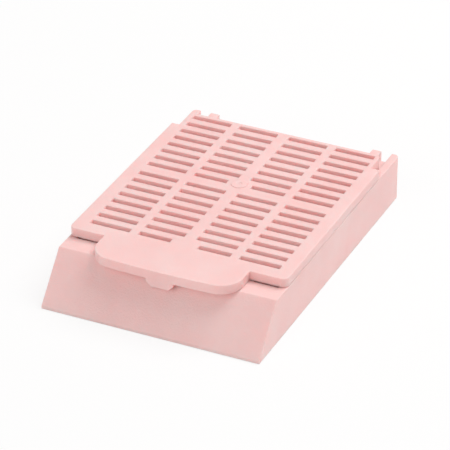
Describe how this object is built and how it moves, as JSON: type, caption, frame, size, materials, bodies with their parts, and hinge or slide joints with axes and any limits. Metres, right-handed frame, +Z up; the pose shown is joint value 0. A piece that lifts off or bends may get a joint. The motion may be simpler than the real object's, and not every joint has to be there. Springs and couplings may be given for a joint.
{
  "type": "tissue cassette",
  "caption": "Histology tissue cassette: slotted plastic tray with a sloped writing face, closed by a slotted hinged snap lid.",
  "frame": {"origin": "middle of the tray's footprint, on the plane that it stands on", "axes": "+X across the tray, +Y from the writing ramp to the hinge end, +Z up through the lid"},
  "size_m": [0.028, 0.0416, 0.0073],
  "materials": {
    "pink_acetal": "satin"
  },
  "bodies": {
    "tray_body": {"base": "pink_acetal"},
    "lid_body": {"lid": "pink_acetal"}
  },
  "joints": [
    {"name": "lid_hinge", "type": "hinge", "parent": "tray_body", "child": "lid_body", "pos_m": [0, 0.0177, 0.00595], "axis": [-1, 0, 0], "range_deg": [0, 90]}
  ]
}
